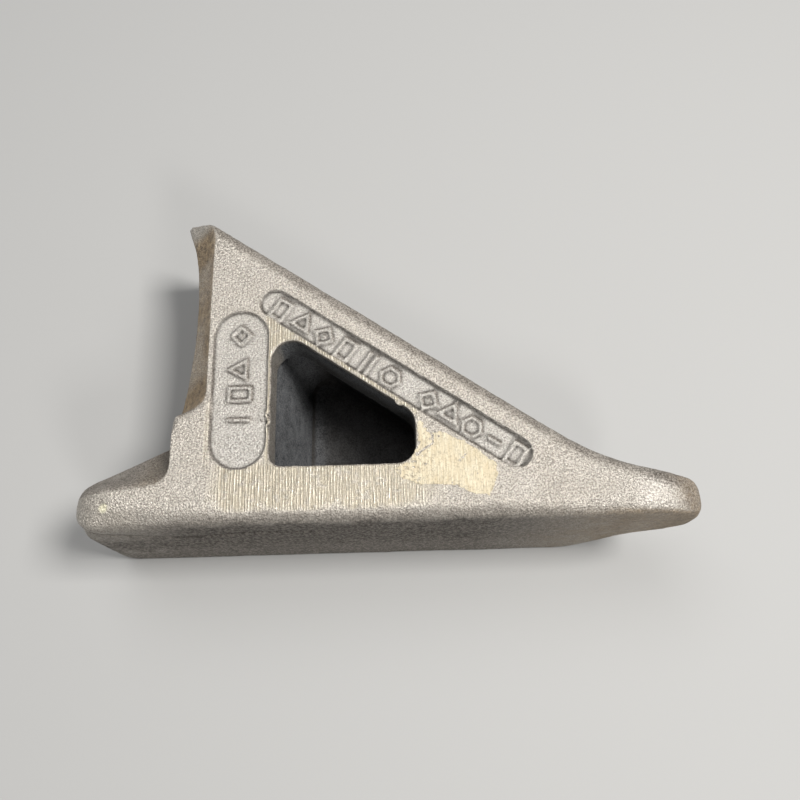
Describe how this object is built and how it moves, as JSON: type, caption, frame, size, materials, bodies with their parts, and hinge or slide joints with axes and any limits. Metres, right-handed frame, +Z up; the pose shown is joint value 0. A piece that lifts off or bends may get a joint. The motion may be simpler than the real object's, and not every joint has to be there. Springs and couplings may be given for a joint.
{
  "type": "friction wedge",
  "caption": "Cast iron bogie friction wedge with a flat friction face, a slope face, a spring seat and a windowed hollow side.",
  "frame": {"origin": "middle of the outline on the resting side, where the casting lies on its side", "axes": "+X along the friction face from heel to toe, +Y from the friction face to the apex, +Z up through the side with the window"},
  "size_m": [0.245, 0.14, 0.0783],
  "materials": {
    "cast_iron": "as-cast, coarse grained, warm grey with brown rust patches and ground flats",
    "paper": "torn paper remnant, matt cream"
  },
  "bodies": {
    "root": {"wedge_casting": "cast_iron", "label_remnant": "paper"}
  },
  "joints": []
}
